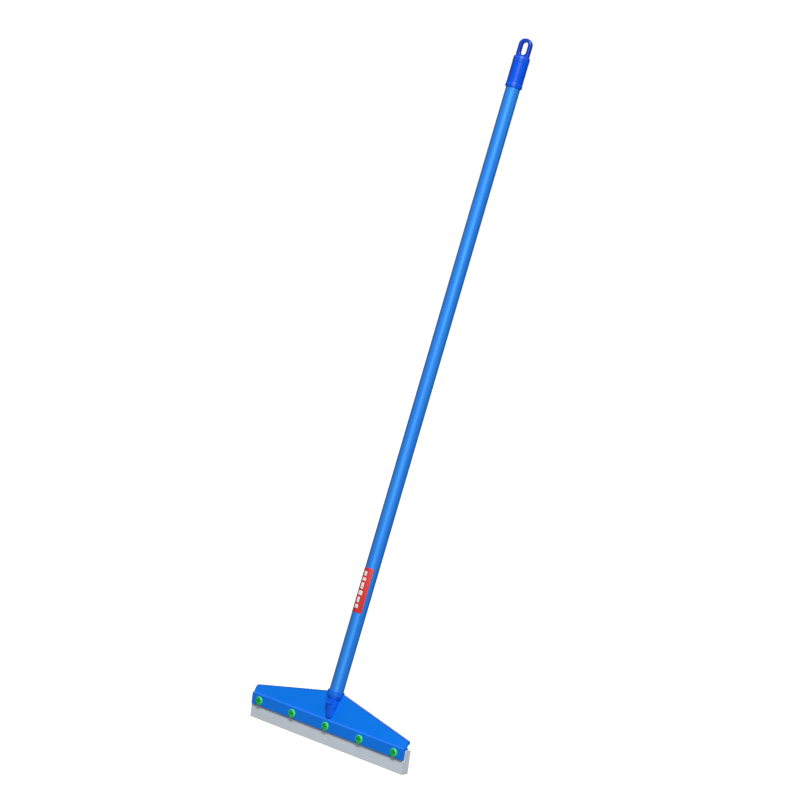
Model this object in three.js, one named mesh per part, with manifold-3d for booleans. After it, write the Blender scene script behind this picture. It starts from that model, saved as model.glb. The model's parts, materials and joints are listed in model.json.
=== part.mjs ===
// A long-handled floor wiper. A wide moulded head clamps two soft wiping blades between its
// front flange and a strip at the back, and a coated tube pushes on a spigot of the head.
// Millimetres, +Z up, +X along the head. The origin is the middle of the front blade's edge,
// -Y is the front, and the handle leans back towards +Y.

import * as THREE from "three";
import { mergeVertices } from "three/addons/utils/BufferGeometryUtils.js";
import Module from "manifold-3d";

const wasm = await Module();
wasm.setup();

// ---- Driving dimensions ----------------------------------------------------------------

const GAP = 0.3; // clearance between pieces that touch or slide
const ROUND_SIDES = 48; // sides of a full round

const HEAD_LENGTH = 335;
const FLANGE_HEIGHT = 18.8;
const FLANGE_DEPTH = 5.6;
const FLANGE_ROUND = 1.8;
const SHELF_DEPTH = 3.2; // from the flange's face back to the foot of the hood
const LEDGE_HEIGHT = 2.4; // the roof over the blades
const LEDGE_DEPTH = 11.5; // from the flange's face back to the ledge's edge

const HOOD_WALL = 3;
const HOOD_OVERHANG = 1; // how far each end of the hood stands past the flange
const HOOD_END_RISE = 11; // height of the hood over the flange at its ends
const HOOD_END_SETBACK = 8.6; // from the flange's face to the hood's top edge at the ends
const HOOD_MID_RISE = 41.5;
const HOOD_MID_SETBACK = 16.3;
const HOOD_MID_HALF_WIDTH = 13.5; // half of the level stretch under the collar
const HOOD_CORNER = 2.6;
const RIM_DEPTH = 5.5; // the hood's top edge turned back
const RIM_WALL = 2.2;
const RIB_THICKNESS = 2;
const RIBS_PER_SIDE = 3;
const CHEEK_THICKNESS = 2.4; // the webs that close the hood's two ends

const BLADE_REACH = 22.5; // from the flange down to the wiping edge
const BLADE_OVERHANG = 1.6; // how far each end of the blades stands past the flange
const BLADE_ROOT_HEIGHT = 15.6; // the clamped part over the flange's lower edge
const FRONT_ROOT_THICKNESS = 4.6;
const FRONT_LIP_THICKNESS = 7.7;
const FRONT_FLARE_HEIGHT = 3.2;
const REAR_THICKNESS = 5.4;
const LIP_CHAMFER = 0.7;
const BLADE_SEAM = 0.6; // room between the front and the rear blade

const STRIP_THICKNESS = 3;
const STRIP_HEIGHT = 14;
const STRIP_INSET = 5; // how far each end of the strip stops short of the flange's

const SCREW_COUNT = 5;
const SCREW_PITCH = 75;
const SCREW_HEIGHT = 8; // over the flange's lower edge
const SCREW_HEAD_RADIUS = 7.1;
const SCREW_HEAD_HEIGHT = 3.2;
const SCREW_RECESS_LENGTH = 9;
const SCREW_RECESS_WIDTH = 2.4;
const SCREW_RECESS_DEPTH = 1.9;
const SHANK_RADIUS = 2.5;
const SHANK_PAST_NUT = 1.5;
const NUT_ACROSS = 9;
const NUT_THICKNESS = 4;

const HANDLE_LEAN = THREE.MathUtils.degToRad(12.6);
const HANDLE_BASE_SETBACK = 14.2; // from the flange's face to the handle's axis at the collar's top
const HANDLE_BASE_RISE = 63.9; // from the flange's lower edge to the collar's top
const HANDLE_LENGTH = 1058; // from the collar's top to the top of the hanging eye
const SLEEVE_RADIUS = 11.5;
const SLEEVE_WALL = 0.6;
const TUBE_WALL = 0.8;
const COLLAR_HEIGHT = 9;
const COLLAR_WALL = 1.7;
const SPIGOT_LENGTH = 38; // over the collar's top
const SPIGOT_TIP_TAPER = 1.2;

const BOSS_LENGTH = 17;
const BOSS_RADIUS = 9.8;
const SEAT_THICKNESS = 2.4; // the disc under the collar
const SEAT_INSET = 0.9; // how far the disc stays inside the collar
const PAD_WIDTH = 10.5;
const PAD_HEIGHT = 11;
const PAD_PROUD = 1;
const FAIRING_TOP_RADIUS = 9.2;
const FAIRING_END_RADIUS = 8;
const FAIRING_END_SETBACK = 8.4; // from the flange's face to the middle of the fairing's round end

const CAP_BARREL_LENGTH = 50;
const CAP_WALL = 1.2;
const CAP_RIM_PROUD = 0.5;
const CAP_RIM_HEIGHT = 5;
const CAP_BEAD_PROUD = 0.35;
const CAP_BEAD_PITCH = 2.2;
const CAP_BEADS = 3;
const CAP_SHOULDER = 1.6;
const CAP_TURN = THREE.MathUtils.degToRad(22);
const EYE_WIDTH = 21.5;
const EYE_THICKNESS = 9.5;
const EYE_SLOT_WIDTH = 10;
const EYE_SLOT_LENGTH = 21;
const TUBE_IN_CAP = 44;

const LABEL_START = 126; // from the collar's top up to the label's lower edge
const LABEL_LENGTH = 78;
const LABEL_HALF_ANGLE = THREE.MathUtils.degToRad(56);
const LABEL_THICKNESS = 0.3;
const LABEL_LIFT = 0.15;

// ---- Places worked out from them -------------------------------------------------------

const flangeFront = -(FLANGE_DEPTH + GAP + FRONT_ROOT_THICKNESS - FRONT_LIP_THICKNESS / 2);
const flangeBack = flangeFront + FLANGE_DEPTH;
const flangeBottom = BLADE_REACH;
const flangeTop = flangeBottom + FLANGE_HEIGHT;
const frontRootFront = flangeBack + GAP;
const frontBack = frontRootFront + FRONT_ROOT_THICKNESS;
const frontLipFront = frontBack - FRONT_LIP_THICKNESS;
const rearFront = frontBack + BLADE_SEAM;
const rearBack = rearFront + REAR_THICKNESS;
const stripFront = rearBack + GAP;
const stripBack = stripFront + STRIP_THICKNESS;
const nutFront = stripBack + GAP;
const nutBack = nutFront + NUT_THICKNESS;
const ledgeBottom = flangeTop - LEDGE_HEIGHT;
const ledgeBack = flangeFront + LEDGE_DEPTH;
const rootBottom = flangeBottom - GAP;
const rootTop = Math.min(flangeBottom + BLADE_ROOT_HEIGHT, ledgeBottom - GAP);
const screwHeight = flangeBottom + SCREW_HEIGHT;
const holeRadius = SHANK_RADIUS + GAP;
const bladeLength = HEAD_LENGTH + 2 * BLADE_OVERHANG;
const hoodHalf = HEAD_LENGTH / 2 + HOOD_OVERHANG;
const hoodFoot = flangeFront + SHELF_DEPTH;

const tubeRadius = SLEEVE_RADIUS - SLEEVE_WALL - GAP;
const tubeBore = tubeRadius - TUBE_WALL;
const spigotRadius = tubeBore - GAP;
const collarRadius = SLEEVE_RADIUS + GAP + COLLAR_WALL;
const capRadius = SLEEVE_RADIUS + GAP + CAP_WALL;
const eyeLength = HANDLE_LENGTH - CAP_BARREL_LENGTH;
const capBottom = HANDLE_LENGTH - CAP_BARREL_LENGTH - (EYE_SLOT_LENGTH + (EYE_WIDTH - EYE_SLOT_WIDTH) / 2 + 3);
const tubeTop = capBottom + TUBE_IN_CAP;
const tubeBottom = GAP - COLLAR_HEIGHT;

const handleBase = new THREE.Vector3(
  0,
  flangeFront + HANDLE_BASE_SETBACK,
  flangeBottom + HANDLE_BASE_RISE,
);

// ---- Materials -------------------------------------------------------------------------

const plastic = (color, roughness) => new THREE.MeshStandardMaterial({ color, roughness, metalness: 0 });
const metal = (color, roughness) => new THREE.MeshStandardMaterial({ color, roughness, metalness: 1 });

const headBlue = plastic(0x1273e6, 0.4);
const stripBlue = plastic(0x1058c8, 0.5);
const capBlue = plastic(0x0a35d8, 0.3);
const sleeveBlue = plastic(0x4a9af0, 0.35);
const screwGreen = plastic(0x10b83c, 0.4);
const labelRed = plastic(0xc02018, 0.5);
const foamWhite = plastic(0xc8cbd0, 0.8);
const steel = metal(0xb8bcc0, 0.4);

// ---- Solids ----------------------------------------------------------------------------

/** Turns a closed geometry into a manifold solid. */
function solid(geometry) {
  const bare = geometry.index ? geometry.clone() : geometry;
  bare.deleteAttribute("normal");
  bare.deleteAttribute("uv");
  const merged = mergeVertices(bare, 1e-4);
  return new wasm.Manifold(
    new wasm.Mesh({
      numProp: 3,
      vertProperties: new Float32Array(merged.attributes.position.array),
      triVerts: new Uint32Array(merged.index.array),
    }),
  );
}

/** Turns a manifold solid back into a geometry. */
function geometryOf(body) {
  const mesh = body.getMesh();
  const geometry = new THREE.BufferGeometry();
  geometry.setAttribute("position", new THREE.BufferAttribute(new Float32Array(mesh.vertProperties), 3));
  geometry.setIndex(new THREE.BufferAttribute(new Uint32Array(mesh.triVerts), 1));
  geometry.computeVertexNormals();
  return geometry;
}

/** A box between two corners. */
function box(low, high) {
  const geometry = new THREE.BoxGeometry(high[0] - low[0], high[1] - low[1], high[2] - low[2]);
  geometry.translate((low[0] + high[0]) / 2, (low[1] + high[1]) / 2, (low[2] + high[2]) / 2);
  return geometry;
}

/** A round bar along +Z from z0 to z1, whose two ends may differ in radius. */
function barZ(radius, z0, z1, endRadius = radius) {
  const geometry = new THREE.CylinderGeometry(endRadius, radius, z1 - z0, ROUND_SIDES);
  geometry.rotateX(Math.PI / 2);
  geometry.translate(0, 0, (z0 + z1) / 2);
  return geometry;
}

/** A round bar along Y at (x, z). */
function barY(radius, x, z, y0, y1, sides = 24) {
  const geometry = new THREE.CylinderGeometry(radius, radius, y1 - y0, sides);
  geometry.translate(x, (y0 + y1) / 2, z);
  return geometry;
}

/** A pipe along +Z, as a closed lathe profile. */
function pipe(outer, inner, z0, z1) {
  const profile = [
    new THREE.Vector2(inner, z0),
    new THREE.Vector2(outer, z0),
    new THREE.Vector2(outer, z1),
    new THREE.Vector2(inner, z1),
    new THREE.Vector2(inner, z0),
  ];
  return new THREE.LatheGeometry(profile, ROUND_SIDES).rotateX(Math.PI / 2);
}

/** Carries an outline in the YZ plane along X. sectionAt(x) gives the same number of points each time. */
function loftAlongX(stations, sectionAt) {
  const turned = THREE.ShapeUtils.isClockWise(sectionAt(stations[0]).map(([y, z]) => new THREE.Vector2(y, z)));
  const outlineAt = (x) => (turned ? sectionAt(x).reverse() : sectionAt(x));
  const rings = stations.map((x) => outlineAt(x).map(([y, z]) => [x, y, z]));
  const count = rings[0].length;
  const index = [];
  for (let ring = 0; ring + 1 < rings.length; ring += 1) {
    for (let k = 0; k < count; k += 1) {
      const a = ring * count + k;
      const b = ring * count + ((k + 1) % count);
      index.push(a, b, a + count, b, b + count, a + count);
    }
  }
  const flat = outlineAt(stations[0]).map(([y, z]) => new THREE.Vector2(y, z));
  const last = (rings.length - 1) * count;
  for (const [a, b, c] of THREE.ShapeUtils.triangulateShape(flat, [])) {
    index.push(a, c, b);
    index.push(last + a, last + b, last + c);
  }
  const geometry = new THREE.BufferGeometry();
  geometry.setAttribute("position", new THREE.Float32BufferAttribute(rings.flat(2), 3));
  geometry.setIndex(index);
  return geometry;
}

/** Points of an arc in the YZ plane, from one angle to another. */
function arc(y, z, radius, from, to, steps) {
  return Array.from({ length: steps + 1 }, (_, k) => {
    const angle = from + ((to - from) * k) / steps;
    return [y + radius * Math.cos(angle), z + radius * Math.sin(angle)];
  });
}

/** Places a geometry made on the handle's own axis in the object's frame. */
function onHandle(geometry) {
  return geometry.rotateX(-HANDLE_LEAN).translate(handleBase.x, handleBase.y, handleBase.z);
}

/** Where the handle's axis is, a given way along it from the collar's top. */
function handlePoint(along) {
  return [
    handleBase.y + along * Math.sin(HANDLE_LEAN),
    handleBase.z + along * Math.cos(HANDLE_LEAN),
  ];
}

const screwPlaces = Array.from({ length: SCREW_COUNT }, (_, k) => (k - (SCREW_COUNT - 1) / 2) * SCREW_PITCH);

/** Cuts the clamp screws' holes through a body that they pass. */
function drilled(body, y0, y1) {
  return screwPlaces.reduce(
    (left, x) => left.subtract(solid(barY(holeRadius, x, screwHeight, y0 - 1, y1 + 1))),
    body,
  );
}

// ---- The head --------------------------------------------------------------------------

/** The hood's top edge at a place along the head: how far back, and how high. */
function hoodTop(x) {
  const share = Math.max(0, (Math.abs(x) - HOOD_MID_HALF_WIDTH) / (hoodHalf - HOOD_MID_HALF_WIDTH));
  const inCorner = Math.max(0, Math.abs(x) - (hoodHalf - HOOD_CORNER));
  const drop = HOOD_CORNER - Math.sqrt(Math.max(0, HOOD_CORNER ** 2 - inCorner ** 2));
  return [
    flangeFront + THREE.MathUtils.lerp(HOOD_MID_SETBACK, HOOD_END_SETBACK, share) - drop * 0.4,
    flangeTop + THREE.MathUtils.lerp(HOOD_MID_RISE, HOOD_END_RISE, share) - drop,
  ];
}

/** The hood's section: a leaning wall on the shelf, with its top edge turned back. */
function hoodSection(x) {
  const [topY, topZ] = hoodTop(x);
  const foot = flangeTop - LEDGE_HEIGHT / 2;
  const rimZ = topZ - RIM_WALL;
  return [
    [hoodFoot, foot],
    [topY - 0.4, topZ - 1.2],
    [topY, topZ - 0.3],
    [topY + 0.8, topZ],
    [topY + RIM_DEPTH, topZ - 0.6],
    [topY + RIM_DEPTH, rimZ - 0.6],
    [topY + HOOD_WALL, rimZ - 0.9],
    [hoodFoot + HOOD_WALL, foot],
  ];
}

/** The places along the hood where its section is taken: dense in the rounded corners. */
function hoodStations() {
  const corner = [0, 0.3, 0.55, 0.75, 0.9, 0.98].map((share) => hoodHalf - HOOD_CORNER + share * HOOD_CORNER);
  const side = [HOOD_MID_HALF_WIDTH, hoodHalf * 0.3, hoodHalf * 0.55, hoodHalf * 0.78];
  const right = [...side, ...corner];
  return [...right.map((x) => -x).reverse(), ...right];
}

/** The flange with its rounded upper edge, and the ledge that roofs the blades. */
function flangeSection() {
  const round = arc(flangeFront + FLANGE_ROUND, flangeTop - FLANGE_ROUND, FLANGE_ROUND, Math.PI, Math.PI / 2, 4);
  return [
    [flangeFront + 0.6, flangeBottom],
    [flangeFront, flangeBottom + 0.6],
    ...round,
    [ledgeBack, flangeTop],
    [ledgeBack, ledgeBottom],
    [flangeBack, ledgeBottom],
    [flangeBack, flangeBottom],
  ];
}

/** A web behind the hood, between its wall, its rim and the ledge. */
function hoodWeb(x, thickness) {
  const [topY, topZ] = hoodTop(x);
  const outline = () => [
    [hoodFoot + HOOD_WALL / 2, flangeTop - LEDGE_HEIGHT / 2],
    [topY + HOOD_WALL / 2, topZ - RIM_WALL],
    [topY + RIM_DEPTH - 0.6, topZ - RIM_WALL],
    [ledgeBack - 1, flangeTop - LEDGE_HEIGHT / 2],
  ];
  return loftAlongX([x - thickness / 2, x + thickness / 2], outline);
}

/** Joins two circles in level planes, each given as [y, z, radius], into one slanted round body. */
function fairing(top, bottom) {
  const ring = ([y, z, radius]) =>
    Array.from({ length: ROUND_SIDES }, (_, k) => {
      const angle = (2 * Math.PI * k) / ROUND_SIDES;
      return [radius * Math.cos(angle), y + radius * Math.sin(angle), z];
    });
  const positions = [...ring(bottom), ...ring(top), [0, bottom[0], bottom[1]], [0, top[0], top[1]]].flat();
  const index = [];
  for (let k = 0; k < ROUND_SIDES; k += 1) {
    const next = (k + 1) % ROUND_SIDES;
    index.push(k, next, ROUND_SIDES + k, next, ROUND_SIDES + next, ROUND_SIDES + k);
    index.push(2 * ROUND_SIDES, next, k);
    index.push(2 * ROUND_SIDES + 1, ROUND_SIDES + k, ROUND_SIDES + next);
  }
  const geometry = new THREE.BufferGeometry();
  geometry.setAttribute("position", new THREE.Float32BufferAttribute(positions, 3));
  geometry.setIndex(index);
  return geometry;
}

/** The boss under the collar, its raised pad, the fairing below it and the spigot above. */
function headBoss() {
  const bossTop = -COLLAR_HEIGHT;
  const bossBottom = bossTop - BOSS_LENGTH;
  const boss = solid(onHandle(barZ(BOSS_RADIUS, bossBottom, bossTop)));
  const padTop = bossTop - SEAT_THICKNESS / 2;
  const padLow = [-PAD_WIDTH / 2, -BOSS_RADIUS - PAD_PROUD, padTop - PAD_HEIGHT - SEAT_THICKNESS / 2];
  const pad = solid(onHandle(box(padLow, [PAD_WIDTH / 2, 0, padTop])));
  const spigot = solid(onHandle(barZ(spigotRadius, bossTop - 1, SPIGOT_LENGTH - SPIGOT_TIP_TAPER)));
  const tip = solid(
    onHandle(
      barZ(
        spigotRadius,
        SPIGOT_LENGTH - SPIGOT_TIP_TAPER - 0.01,
        SPIGOT_LENGTH,
        spigotRadius - SPIGOT_TIP_TAPER,
      ),
    ),
  );
  const seat = solid(onHandle(barZ(collarRadius - SEAT_INSET, bossTop - SEAT_THICKNESS, bossTop)));
  const [stepY, stepZ] = handlePoint(bossBottom + 2);
  const endY = flangeFront + FAIRING_END_SETBACK;
  const endZ = flangeTop + FAIRING_END_RADIUS - 0.5;
  const cone = solid(fairing([stepY, stepZ, FAIRING_TOP_RADIUS], [endY, endZ, FAIRING_END_RADIUS]));
  const ball = new THREE.SphereGeometry(FAIRING_END_RADIUS, ROUND_SIDES, 20);
  const end = solid(ball.rotateX(Math.PI / 2).translate(0, endY, endZ));
  return boss.add(seat).add(pad).add(spigot).add(tip).add(cone).add(end);
}

/** Everything that the head's one moulding holds. */
function headShell() {
  const flange = loftAlongX([-HEAD_LENGTH / 2, HEAD_LENGTH / 2], flangeSection);
  const collarRoom = solid(onHandle(barZ(collarRadius + GAP, -COLLAR_HEIGHT, SPIGOT_LENGTH)));
  const hood = solid(loftAlongX(hoodStations(), hoodSection)).subtract(collarRoom);
  let body = solid(flange).add(hood).add(headBoss());
  const ribSpan = (hoodHalf - BOSS_RADIUS) / (RIBS_PER_SIDE + 1);
  for (const side of [-1, 1]) {
    for (let k = 1; k <= RIBS_PER_SIDE; k += 1) {
      body = body.add(solid(hoodWeb(side * (BOSS_RADIUS + k * ribSpan), RIB_THICKNESS)));
    }
    const cheek = HEAD_LENGTH / 2 - CHEEK_THICKNESS / 2 - HOOD_CORNER / 2;
    body = body.add(solid(hoodWeb(side * cheek, CHEEK_THICKNESS)));
  }
  const below = box([-HEAD_LENGTH, flangeBack, 0], [HEAD_LENGTH, 4 * stripBack, ledgeBottom]);
  return geometryOf(drilled(body.subtract(solid(below)), flangeFront, flangeBack));
}

/** The strip that the nuts pull against the rear blade. */
function clampStrip() {
  const half = HEAD_LENGTH / 2 - STRIP_INSET;
  const low = screwHeight - STRIP_HEIGHT / 2;
  const section = () => [
    [stripFront, low],
    [stripBack - 0.8, low],
    [stripBack, low + 0.8],
    [stripBack, low + STRIP_HEIGHT - 0.8],
    [stripBack - 0.8, low + STRIP_HEIGHT],
    [stripFront, low + STRIP_HEIGHT],
  ];
  return geometryOf(drilled(solid(loftAlongX([-half, half], section)), stripFront, stripBack));
}

// ---- The blades ------------------------------------------------------------------------

/** The clamped upper part of a blade. */
function bladeRoot(front, back) {
  const low = [-bladeLength / 2, front, rootBottom];
  return geometryOf(drilled(solid(box(low, [bladeLength / 2, back, rootTop])), front, back));
}

/** A blade's free lip, round on top about its bending line, with a square wiping edge. */
function bladeLip(front, back, lipFront) {
  const hingeY = (front + back) / 2;
  const radius = (back - front) / 2;
  const hingeZ = rootBottom - GAP - radius;
  const flare = lipFront < front ? [[lipFront, hingeZ - FRONT_FLARE_HEIGHT]] : [];
  const section = () => [
    ...arc(hingeY, hingeZ, radius, 0, Math.PI, 10),
    ...flare,
    [lipFront, LIP_CHAMFER],
    [lipFront + LIP_CHAMFER, 0],
    [back - LIP_CHAMFER, 0],
    [back, LIP_CHAMFER],
  ];
  return loftAlongX([-bladeLength / 2, bladeLength / 2], section);
}

// ---- Screws and nuts -------------------------------------------------------------------

/** A clamp screw with a domed head and a cross recess. */
function clampScrew(x) {
  const rim = SCREW_HEAD_RADIUS;
  const profile = [
    new THREE.Vector2(0, 0),
    new THREE.Vector2(rim, 0),
    new THREE.Vector2(rim, SCREW_HEAD_HEIGHT * 0.45),
    new THREE.Vector2(rim * 0.9, SCREW_HEAD_HEIGHT * 0.75),
    new THREE.Vector2(rim * 0.7, SCREW_HEAD_HEIGHT * 0.92),
    new THREE.Vector2(0, SCREW_HEAD_HEIGHT),
  ];
  const dome = new THREE.LatheGeometry(profile, 32).rotateX(Math.PI);
  const face = flangeFront - GAP;
  const head = solid(dome.translate(x, face, screwHeight));
  const shank = solid(barY(SHANK_RADIUS, x, screwHeight, face - 0.5, nutBack + SHANK_PAST_NUT));
  const front = face - SCREW_HEAD_HEIGHT;
  const half = SCREW_RECESS_LENGTH / 2;
  const thin = SCREW_RECESS_WIDTH / 2;
  const bottom = front + SCREW_RECESS_DEPTH;
  const level = solid(box([x - half, front - 1, screwHeight - thin], [x + half, bottom, screwHeight + thin]));
  const upright = solid(box([x - thin, front - 1, screwHeight - half], [x + thin, bottom, screwHeight + half]));
  return geometryOf(head.add(shank).subtract(level.add(upright)));
}

/** A six-sided nut behind the clamp strip. */
function clampNut(x) {
  const hex = new THREE.CylinderGeometry(NUT_ACROSS / Math.sqrt(3), NUT_ACROSS / Math.sqrt(3), NUT_THICKNESS, 6);
  const body = solid(hex.translate(x, (nutFront + nutBack) / 2, screwHeight));
  return geometryOf(body.subtract(solid(barY(holeRadius, x, screwHeight, nutFront - 1, nutBack + 1))));
}

// ---- The handle, on its own axis with the collar's top at zero --------------------------

/** A plate of even thickness with round ends, standing along Z and facing Y. */
function stadium(width, thickness, low, high) {
  const radius = width / 2;
  const shape = new THREE.Shape();
  shape.moveTo(-radius, low);
  shape.lineTo(radius, low);
  shape.lineTo(radius, high - radius);
  shape.absarc(0, high - radius, radius, 0, Math.PI, false);
  shape.closePath();
  const geometry = new THREE.ExtrudeGeometry(shape, { depth: thickness, bevelEnabled: false, curveSegments: 24 });
  return geometry.translate(0, 0, -thickness / 2).rotateX(Math.PI / 2);
}

/** A round-ended slot that runs through along Y. */
function slot(width, length, middle, depth) {
  const radius = width / 2;
  const shape = new THREE.Shape();
  shape.absarc(0, middle + length / 2 - radius, radius, 0, Math.PI, false);
  shape.absarc(0, middle - length / 2 + radius, radius, Math.PI, 2 * Math.PI, false);
  shape.closePath();
  const geometry = new THREE.ExtrudeGeometry(shape, { depth, bevelEnabled: false, curveSegments: 16 });
  return geometry.translate(0, 0, -depth / 2).rotateX(Math.PI / 2);
}

/** The cap's round body: a rim at its mouth, fine beads near its top and a rounded shoulder. */
function capBarrelProfile() {
  const low = capBottom;
  const high = capBottom + CAP_BARREL_LENGTH;
  const rim = capRadius + CAP_RIM_PROUD;
  const points = [
    [0, low],
    [rim, low],
    [rim, low + CAP_RIM_HEIGHT],
    [capRadius, low + CAP_RIM_HEIGHT + 1],
  ];
  for (let k = CAP_BEADS; k >= 1; k -= 1) {
    const middle = high - CAP_SHOULDER - k * CAP_BEAD_PITCH;
    points.push([capRadius, middle - 0.6], [capRadius + CAP_BEAD_PROUD, middle], [capRadius, middle + 0.6]);
  }
  points.push([capRadius, high - CAP_SHOULDER], [capRadius - CAP_SHOULDER * 0.4, high - CAP_SHOULDER * 0.3]);
  points.push([capRadius - CAP_SHOULDER, high], [0, high]);
  return points.map(([radius, z]) => new THREE.Vector2(radius, z));
}

/** The cap that closes the handle, with its hanging eye. */
function hangCap() {
  const barrel = solid(new THREE.LatheGeometry(capBarrelProfile(), ROUND_SIDES).rotateX(Math.PI / 2));
  const eye = solid(stadium(EYE_WIDTH, EYE_THICKNESS, eyeLength - 30, HANDLE_LENGTH));
  const hole = solid(barZ(SLEEVE_RADIUS + GAP, capBottom - 1, tubeTop + GAP));
  const bar = (EYE_WIDTH - EYE_SLOT_WIDTH) / 2;
  const middle = HANDLE_LENGTH - bar - EYE_SLOT_LENGTH / 2;
  const opening = solid(slot(EYE_SLOT_WIDTH, EYE_SLOT_LENGTH, middle, 4 * EYE_THICKNESS));
  return geometryOf(barrel.add(eye).subtract(hole).subtract(opening)).rotateZ(CAP_TURN);
}

/** A thin curved patch that wraps the front of the sleeve. */
function handleLabel() {
  const inner = SLEEVE_RADIUS + LABEL_LIFT;
  const outer = inner + LABEL_THICKNESS;
  const shape = new THREE.Shape();
  const middle = -Math.PI / 2;
  shape.absarc(0, 0, outer, middle - LABEL_HALF_ANGLE, middle + LABEL_HALF_ANGLE, false);
  shape.absarc(0, 0, inner, middle + LABEL_HALF_ANGLE, middle - LABEL_HALF_ANGLE, true);
  shape.closePath();
  const geometry = new THREE.ExtrudeGeometry(shape, { depth: LABEL_LENGTH, bevelEnabled: false, curveSegments: 20 });
  return geometry.translate(0, 0, LABEL_START);
}

// ---- The object ------------------------------------------------------------------------

/** Names a mesh and puts it in a group. */
function place(group, name, geometry, material) {
  const mesh = new THREE.Mesh(geometry, material);
  mesh.name = name;
  group.add(mesh);
}

const wiper = new THREE.Group();
place(wiper, "head_shell", headShell(), headBlue);
place(wiper, "rear_clamp_strip", clampStrip(), stripBlue);
place(wiper, "front_blade_root", bladeRoot(frontRootFront, frontBack), foamWhite);
place(wiper, "front_blade_lip", bladeLip(frontRootFront, frontBack, frontLipFront), foamWhite);
place(wiper, "rear_blade_root", bladeRoot(rearFront, rearBack), foamWhite);
place(wiper, "rear_blade_lip", bladeLip(rearFront, rearBack, rearFront), foamWhite);
screwPlaces.forEach((x, k) => {
  place(wiper, `clamp_screw_${k + 1}`, clampScrew(x), screwGreen);
  place(wiper, `clamp_nut_${k + 1}`, clampNut(x), steel);
});

const handle = new THREE.Group();
handle.position.copy(handleBase);
handle.rotation.x = -HANDLE_LEAN;
wiper.add(handle);
place(handle, "ferrule_collar", pipe(collarRadius, SLEEVE_RADIUS + GAP, tubeBottom, 0), headBlue);
place(handle, "handle_tube", pipe(tubeRadius, tubeBore, tubeBottom, tubeTop), steel);
place(handle, "handle_sleeve", pipe(SLEEVE_RADIUS, tubeRadius + GAP, tubeBottom, tubeTop), sleeveBlue);
place(handle, "handle_label", handleLabel(), labelRed);
place(handle, "hang_cap", hangCap(), capBlue);

export default wiper;
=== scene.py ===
"""A long-handled floor wiper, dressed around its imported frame.

The moulded head, the two foam blades, the coated handle and its hanging cap are built as
surfaces worked out from the frame's own boxes, in metres, and given procedural finishes.
"""

from __future__ import annotations

import json
import logging
import math
from collections.abc import Callable, Sequence
from dataclasses import dataclass, field
from enum import Enum
from typing import TypeAlias

import bmesh
import bpy
import numpy as np
from mathutils import Matrix, Vector


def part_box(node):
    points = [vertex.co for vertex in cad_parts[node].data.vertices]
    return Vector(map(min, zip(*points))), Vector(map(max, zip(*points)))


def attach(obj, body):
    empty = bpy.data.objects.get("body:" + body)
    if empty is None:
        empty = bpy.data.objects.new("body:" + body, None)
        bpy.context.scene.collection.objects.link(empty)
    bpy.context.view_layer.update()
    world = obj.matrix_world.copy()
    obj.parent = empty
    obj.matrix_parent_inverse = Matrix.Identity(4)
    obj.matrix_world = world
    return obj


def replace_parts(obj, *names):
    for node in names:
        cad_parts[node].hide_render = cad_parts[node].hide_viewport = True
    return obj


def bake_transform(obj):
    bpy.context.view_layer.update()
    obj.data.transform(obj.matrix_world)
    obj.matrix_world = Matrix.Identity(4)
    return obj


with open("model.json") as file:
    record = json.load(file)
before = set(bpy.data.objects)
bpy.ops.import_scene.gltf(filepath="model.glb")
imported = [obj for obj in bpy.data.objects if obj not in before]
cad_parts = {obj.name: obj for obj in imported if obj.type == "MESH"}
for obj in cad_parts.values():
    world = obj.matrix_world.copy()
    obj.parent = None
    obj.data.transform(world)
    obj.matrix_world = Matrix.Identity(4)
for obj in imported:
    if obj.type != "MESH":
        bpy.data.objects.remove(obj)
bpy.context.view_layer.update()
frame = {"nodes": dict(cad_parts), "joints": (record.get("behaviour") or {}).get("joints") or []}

LOG = logging.getLogger("wiper")
MM = 0.001
COLLAR_HEIGHT = 8.7 * MM
HANDLE_LENGTH = 1058 * MM
EDGE_SHARPNESS = 9.0
FLAT_ANGLE = math.radians(0.6)
EDGE_ANGLE = math.radians(32.0)
ROUND_SIDES = 96
Point: TypeAlias = tuple[float, float, float]
Colour: TypeAlias = tuple[float, float, float]
Socket: TypeAlias = bpy.types.NodeSocket
Feed: TypeAlias = "Socket | float | Sequence[float]"


# ---- Shader nodes and shared groups -----------------------------------------------------


class Group(Enum):
    """The shader groups that more than one finish places."""

    MOTTLE = "soft_mottle"
    GRAIN = "fine_grain"
    EDGE = "edge_wear_and_highlight_mask"
    DUST = "settled_dust"


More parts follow.
